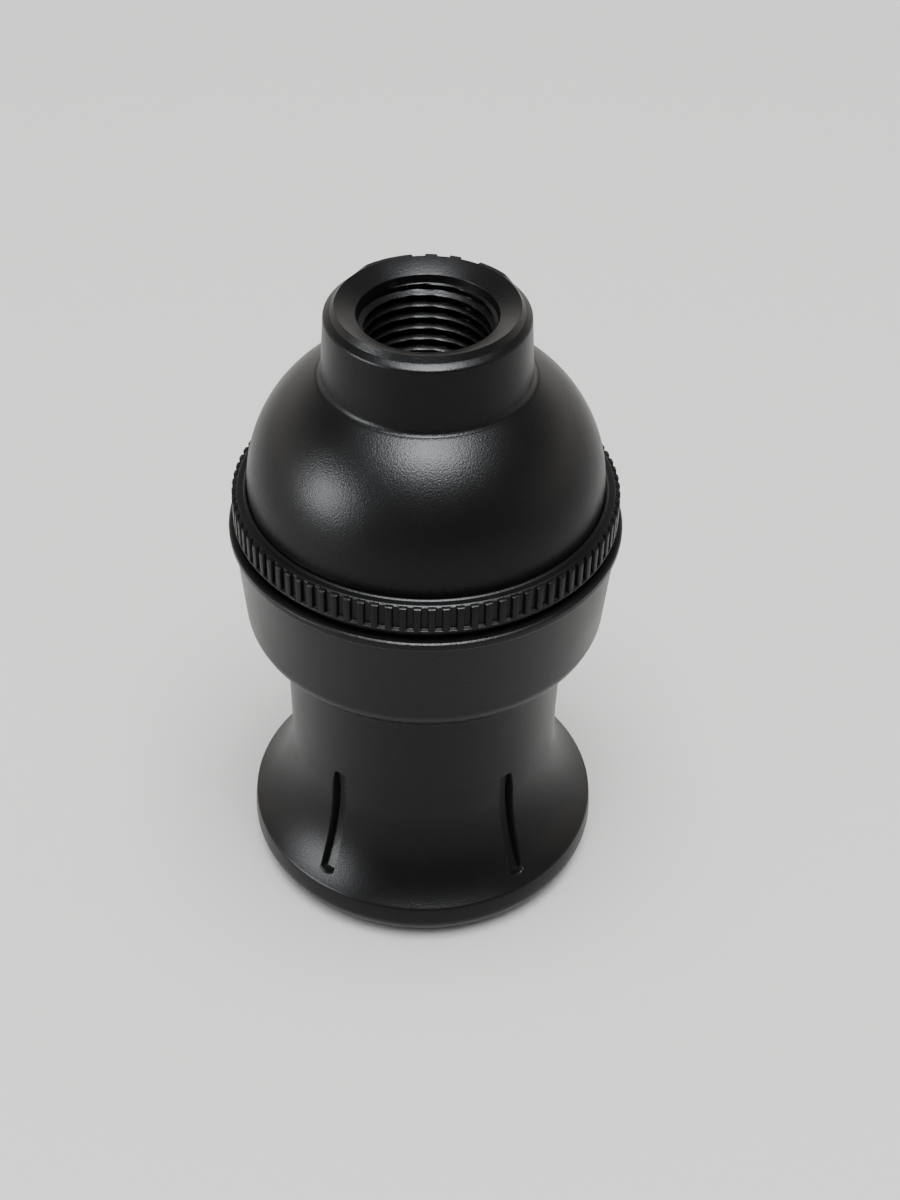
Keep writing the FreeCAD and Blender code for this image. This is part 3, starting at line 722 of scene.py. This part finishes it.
class HOLDER_OT_union_ring(bpy.types.Operator):
    """Build the knurled union ring and its inner thread"""
    bl_idname = "lamp_holder.union_ring"
    bl_label = "Union ring"

    def execute(self, context):
        thread, knurl = settings().thread, settings().knurl
        pitch = thread.pitch / MM
        bore = union_core_radius + thread.union_depth / MM + running_gap
        fine, bead = 0.07, 0.12
        shape = Outline()
        shape.to(bore, ring_bottom, fine)
        shape.to(knurl_valley, ring_bottom, 0.15).to(knurl_valley, knurl_low, 0.05)
        shape.to(knurl_radius, knurl_low, 0.09).to(knurl_radius, knurl_low + knurl_shelf, 0.09)
        shape.to(knurl_valley, knurl_low + knurl_shelf + 0.08, 0.06)
        shape.to(knurl_valley, ring_top - 0.20, 0.08).to(knurl_valley - 0.28, ring_top, 0.08)
        shape.to(ring_hole_radius + 0.40, ring_top, 0.05).to(ring_hole_radius + 0.20, ring_top + bead, 0.08)
        shape.to(ring_hole_radius, ring_top + bead, 0.06).to(ring_hole_radius, lip_underside, fine)
        shape.to(bore, lip_underside, fine)
        shape.to(bore, ring_bottom + 0.12, 0, pitch / thread.rows)

        def warp(radius, height, turn):
            run = np.abs(radius - bore) < 0.01
            fade = np.clip((height - ring_bottom) / ring_fade, 0, 1)
            fade = fade * np.clip((spigot_top - 0.2 - height) / ring_fade, 0, 1)
            ridge = thread_height(height, turn, pitch, 0.5) * fade * thread.ring_ridge / MM
            return np.where(run, radius - ridge, radius), height, turn

        columns = np.linspace(0, TURN, 361)[:-1]
        ring = lathe("union_ring_moulding", shape, columns, warp)
        ring.data.materials.append(moulding_material())
        ribs = mesh_object("union_ring_ribs", *rib_mesh(knurl))
        ribs.data.materials.append(moulding_material())
        apply_group(ribs, around_group(), {"Count": knurl.count, "Material": moulding_material()})
        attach(ring, "ring_body")
        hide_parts("union_ring")
        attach(ribs, "ring_body")
        return {"FINISHED"}


# ---------------------------------------------------------------- the cap
class HOLDER_OT_cap(bpy.types.Operator):
    """Build the domed cap, its neck and the conduit thread"""
    bl_idname = "lamp_holder.cap"
    bl_label = "Cap"

    def execute(self, context):
        thread = settings().thread
        pitch = thread.pitch / MM
        depth = thread.entry_depth / MM
        register_radius = bowl_bore_radius - running_gap
        register_inner = register_radius - register_wall
        neck_side = neck_base_radius + neck_fillet
        crease_z = dome_centre[1] + math.sqrt((dome_arc + neck_fillet) ** 2 - (neck_side - dome_centre[0]) ** 2)
        end = math.degrees(math.atan2(crease_z - dome_centre[1], neck_side - dome_centre[0]))
        inner_arc = dome_arc - dome_wall
        ceiling = math.degrees(math.asin((stop_underside - dome_centre[1]) / inner_arc))
        fine = 0.12
        shape = Outline()
        shape.to(register_inner, register_low, fine).to(register_radius, register_low, fine)
        shape.to(register_radius, cap_base, fine).to(cap_flange_radius, cap_base, fine)
        shape.to(cap_flange_radius, cap_flange_top, fine).to(dome_radius, cap_flange_top, fine)
        shape.arc(dome_centre, dome_arc, 0, end, 48)
        shape.arc((neck_side, crease_z), neck_fillet, 180 + end, 180, 8)
        shape.to(neck_top_radius, neck_wall_top, 0.8)
        shape.arc(shoulder_centre, shoulder_round, 3, shoulder_slope, 10)
        run = shape.points[-1][0] - rim_outer - ledge_gap
        ledge = (rim_outer + ledge_gap, shape.points[-1][1] + run / math.tan(math.radians(shoulder_slope)))
        shape.to(*ledge).to(rim_outer, rim_high, 0.07)
        shape.to(lip_radius + 0.06, rim_high, 0.03, 0.08).to(lip_radius, lip_top, 0.05)
        shape.to(mouth_radius, mouth_level, 0.1)
        shape.to(mouth_radius, thread_top)
        shape.to(mouth_radius, thread_end, 0, pitch / thread.rows)
        shape.to(stop_hole_radius, thread_end, fine).to(stop_hole_radius, stop_underside, fine)
        shape.to(dome_centre[0] + inner_arc * math.cos(math.radians(ceiling)), stop_underside, 0.2)
        shape.arc(dome_centre, inner_arc, ceiling - 1, 0, 32)
        shape.to(register_inner, cap_base, fine)

        def warp(radius, height, turn):
            run = (np.abs(radius - mouth_radius) < 0.01) & (height <= thread_top) & (height >= thread_end)
            lead = (thread_top - height) * entry_lead
            form = thread_height(height, turn, pitch, root=entry_root, flanks=entry_flanks)
            ridge = np.minimum(form * depth, np.clip(lead, 0, depth))
            radius = np.where(run, entry_core_radius + depth - ridge, radius)
            inside = np.degrees(np.minimum(turn - math.radians(rim_span[0]), math.radians(rim_span[1]) - turn))
            rim = np.clip(inside / rim_fade, 0, 1)
            for angle, width in rim_notches:
                rim = np.where(np.abs(turn - math.radians(angle)) * rim_outer < width / 2, 0, rim)
            below = np.interp(radius, (lip_radius, lip_foot[0], ledge[0]), (lip_top, lip_foot[1], ledge[1]))
            upper = (radius > lip_radius) & (radius < ledge[0]) & (height > ledge[1])
            lowered = below + np.maximum(height - below, 0) * rim
            return radius, np.where(upper & (rim < 1), lowered, height), turn

        edges = np.array([angle + side * math.degrees(width / 2 / rim_outer)
                          for angle, width in rim_notches for side in (-1, 1)])
        columns = [degrees for degrees in np.linspace(0, 360, 289)[:-1] if np.abs(edges - degrees).min() > 0.4]
        columns = np.radians(sorted([*columns, *(edges - 0.08), *(edges + 0.08)]))
        obj = lathe("cap_moulding", shape, columns, warp)
        obj.data.materials.append(moulding_material())
        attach(obj, "cap_body")
        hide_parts("cap")
        return {"FINISHED"}


# ---------------------------------------------------------------- springs
def spiral_group():
    """Geometry group for a round wire spring standing on the origin."""
    if "wire_spring" in bpy.data.node_groups:
        return bpy.data.node_groups["wire_spring"]
    tree = bpy.data.node_groups.new("wire_spring", "GeometryNodeTree")
    tree.interface.new_socket("Geometry", in_out="INPUT", socket_type="NodeSocketGeometry")
    for label in ("Turns", "Radius", "Length", "Wire"):
        tree.interface.new_socket(label, in_out="INPUT", socket_type="NodeSocketFloat")
    tree.interface.new_socket("Material", in_out="INPUT", socket_type="NodeSocketMaterial")
    tree.interface.new_socket("Geometry", in_out="OUTPUT", socket_type="NodeSocketGeometry")
    nodes, links = tree.nodes, tree.links
    source, target = nodes.new("NodeGroupInput"), nodes.new("NodeGroupOutput")
    spiral = nodes.new("GeometryNodeCurveSpiral")
    spiral.inputs["Resolution"].default_value = 40
    links.new(source.outputs["Turns"], spiral.inputs["Rotations"])
    links.new(source.outputs["Radius"], spiral.inputs["Start Radius"])
    links.new(source.outputs["Radius"], spiral.inputs["End Radius"])
    links.new(source.outputs["Length"], spiral.inputs["Height"])
    section = nodes.new("GeometryNodeCurvePrimitiveCircle")
    section.inputs["Resolution"].default_value = 12
    links.new(source.outputs["Wire"], section.inputs["Radius"])
    sweep = nodes.new("GeometryNodeCurveToMesh")
    sweep.inputs["Fill Caps"].default_value = True
    links.new(spiral.outputs["Curve"], sweep.inputs["Curve"])
    links.new(section.outputs["Curve"], sweep.inputs["Profile Curve"])
    smooth = nodes.new("GeometryNodeSetShadeSmooth")
    links.new(sweep.outputs["Mesh"], smooth.inputs["Geometry"])
    realize = nodes.new("GeometryNodeRealizeInstances")
    links.new(smooth.outputs["Geometry"], realize.inputs["Geometry"])
    paint = nodes.new("GeometryNodeSetMaterial")
    links.new(realize.outputs["Geometry"], paint.inputs["Geometry"])
    links.new(source.outputs["Material"], paint.inputs["Material"])
    links.new(paint.outputs["Geometry"], target.inputs["Geometry"])
    return tree


class HOLDER_OT_springs(bpy.types.Operator):
    """Wind the two springs behind the plungers"""
    bl_idname = "lamp_holder.springs"
    bl_label = "Plunger springs"

    def execute(self, context):
        spring = settings().spring
        for side in ("left", "right"):
            node = "plunger_spring_" + side
            low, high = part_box(node)
            wire = spring.wire / 2
            mesh = bpy.data.meshes.new(node + "_wire")
            obj = bpy.data.objects.new(node + "_wire", mesh)
            context.scene.collection.objects.link(obj)
            mesh.materials.append(steel_material())
            apply_group(obj, spiral_group(), {
                "Turns": spring.turns, "Radius": (high.y - low.y) / 2 - wire, "Wire": wire,
                "Length": high.z - low.z - spring.wire, "Material": steel_material()})
            centre = (low + high) / 2
            obj.data.transform(Matrix.Translation((centre.x, centre.y, low.z + wire)))
            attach(obj, "holder")
            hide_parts(node)
            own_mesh(obj)
        return {"FINISHED"}


# ---------------------------------------------------------------- pieces kept from the frame
class HOLDER_OT_metal(bpy.types.Operator):
    """Finish the terminal block, sleeve, contacts, screws and plungers"""
    bl_idname = "lamp_holder.metal"
    bl_label = "Inner pieces"

    def execute(self, context):
        finishes = {"black_moulding": moulding_material, "brass": brass_material,
                    "plated_steel": steel_material}
        replaced = ("skirt_body", "union_ring", "cap", "plunger_spring_left", "plunger_spring_right")
        slots = {part["node"]: part["material_slot"] for part in frame["record"]["subparts"]}
        for name, obj in frame["nodes"].items():
            if name in replaced:
                continue
            obj.data.materials.clear()
            obj.data.materials.append(finishes[slots[name]]())
        return {"FINISHED"}


# ---------------------------------------------------------------- stage
class HOLDER_OT_stage(bpy.types.Operator):
    """Set the floor, surroundings, lights and camera"""
    bl_idname = "lamp_holder.stage"
    bl_label = "Studio"

    def execute(self, context):
        stage = settings().stage
        far = floor_half_width
        points = [(-far, -far, 0), (far, -far, 0), (far, far, 0), (-far, far, 0)]
        floor = mesh_object("studio_floor", points, [(0, 1, 2, 3)])
        material = bpy.data.materials.new("studio_floor")
        material.use_nodes = True
        shader = material.node_tree.nodes["Principled BSDF"]
        shader.inputs["Base Color"].default_value = (*stage.floor, 1)
        shader.inputs["Roughness"].default_value = 0.7
        floor.data.materials.append(material)

        context.scene.world = self.surroundings(stage)
        aim = Vector((0, 0, stage.aim_height))
        key = self.softbox("key_softbox", aim, *key_place, stage.key_size, stage.key_power, cool_light)
        side = self.softbox("side_softbox", aim, *side_place, stage.side_size, stage.side_power, cool_light)
        fill = self.softbox("floor_softbox", aim, *fill_place, stage.fill_size, stage.fill_power, warm_light)
        key.visible_diffuse = side.visible_diffuse = fill.visible_glossy = False

        camera_data = bpy.data.cameras.new("camera")
        camera_data.lens = stage.lens
        camera_data.sensor_width = 36
        camera_data.shift_x = stage.shift
        camera = bpy.data.objects.new("camera", camera_data)
        context.scene.collection.objects.link(camera)
        back = Vector((0, -math.cos(stage.elevation), math.sin(stage.elevation)))
        camera.location = aim + back * stage.distance
        tilt = math.pi / 2 - stage.elevation
        turn = Matrix.Rotation(tilt, 4, "X") @ Matrix.Rotation(stage.roll, 4, "Z")
        camera.rotation_euler = turn.to_euler()
        context.scene.camera = camera
        return {"FINISHED"}

    def surroundings(self, stage):
        """World that is dim above and on the camera's side, and bright low at the sides and behind."""
        world = bpy.data.worlds.new("studio")
        world.use_nodes = True
        nodes, links = world.node_tree.nodes, world.node_tree.links
        place = nodes.new("ShaderNodeTexCoord")
        split = nodes.new("ShaderNodeSeparateXYZ")
        links.new(place.outputs["Generated"], split.inputs["Vector"])
        both = nodes.new("ShaderNodeMath")
        both.operation = "MULTIPLY"
        for i, (axis, dim, bright) in enumerate(surroundings_fades):
            fade = nodes.new("ShaderNodeMapRange")
            fade.interpolation_type = "SMOOTHSTEP"
            fade.inputs["From Min"].default_value = dim
            fade.inputs["From Max"].default_value = bright
            links.new(split.outputs[axis], fade.inputs["Value"])
            links.new(fade.outputs["Result"], both.inputs[i])
        blend = nodes.new("ShaderNodeMix")
        blend.data_type = "RGBA"
        blend.inputs["A"].default_value = (*stage.front, 1)
        blend.inputs["B"].default_value = (*stage.sides, 1)
        links.new(both.outputs["Value"], blend.inputs["Factor"])
        links.new(blend.outputs["Result"], nodes["Background"].inputs["Color"])
        return world

    def softbox(self, name, aim, height, turn, distance, size, power, colour):
        """Square light at a height above the horizon and a turn to the camera's right, both in degrees."""
        height, turn = math.radians(height), math.radians(turn)
        data = bpy.data.lights.new(name, "AREA")
        data.shape = "SQUARE"
        data.size = size
        data.energy = power
        data.color = colour
        light = bpy.data.objects.new(name, data)
        away = Vector((math.sin(turn) * math.cos(height), -math.cos(turn) * math.cos(height), math.sin(height)))
        light.location = aim + away * distance
        light.rotation_euler = away.to_track_quat("Z", "Y").to_euler()
        bpy.context.scene.collection.objects.link(light)
        return light


# ---------------------------------------------------------------- panel and registration
OPERATORS = (HOLDER_OT_body, HOLDER_OT_union_ring, HOLDER_OT_cap, HOLDER_OT_springs, HOLDER_OT_metal,
             HOLDER_OT_stage)


class HOLDER_PT_panel(bpy.types.Panel):
    """Lists the pieces of the lamp holder"""
    bl_idname = "HOLDER_PT_panel"
    bl_label = "Lamp Holder"
    bl_space_type = "VIEW_3D"
    bl_region_type = "UI"
    bl_category = "Lamp Holder"

    def draw(self, context):
        for operator in OPERATORS:
            self.layout.operator(operator.bl_idname)
        for part in ("skirt", "thread", "knurl", "spring", "finish", "stage"):
            box = self.layout.box()
            group = getattr(context.scene.lamp_holder, part)
            box.label(text=part.capitalize())
            for name in group.bl_rna.properties.keys():
                if name not in ("rna_type", "name"):
                    box.prop(group, name)


CLASSES = (SkirtSettings, ThreadSettings, KnurlSettings, SpringSettings, FinishSettings, StageSettings,
           HolderSettings) + OPERATORS + (HOLDER_PT_panel,)


def register():
    for cls in CLASSES:
        bpy.utils.register_class(cls)
    bpy.types.Scene.lamp_holder = PointerProperty(type=HolderSettings)


def unregister():
    del bpy.types.Scene.lamp_holder
    for cls in reversed(CLASSES):
        bpy.utils.unregister_class(cls)


def main():
    register()
    for operator in OPERATORS:
        _, name = operator.bl_idname.split(".")
        getattr(bpy.ops.lamp_holder, name)()


if __name__ == "__main__":
    main()
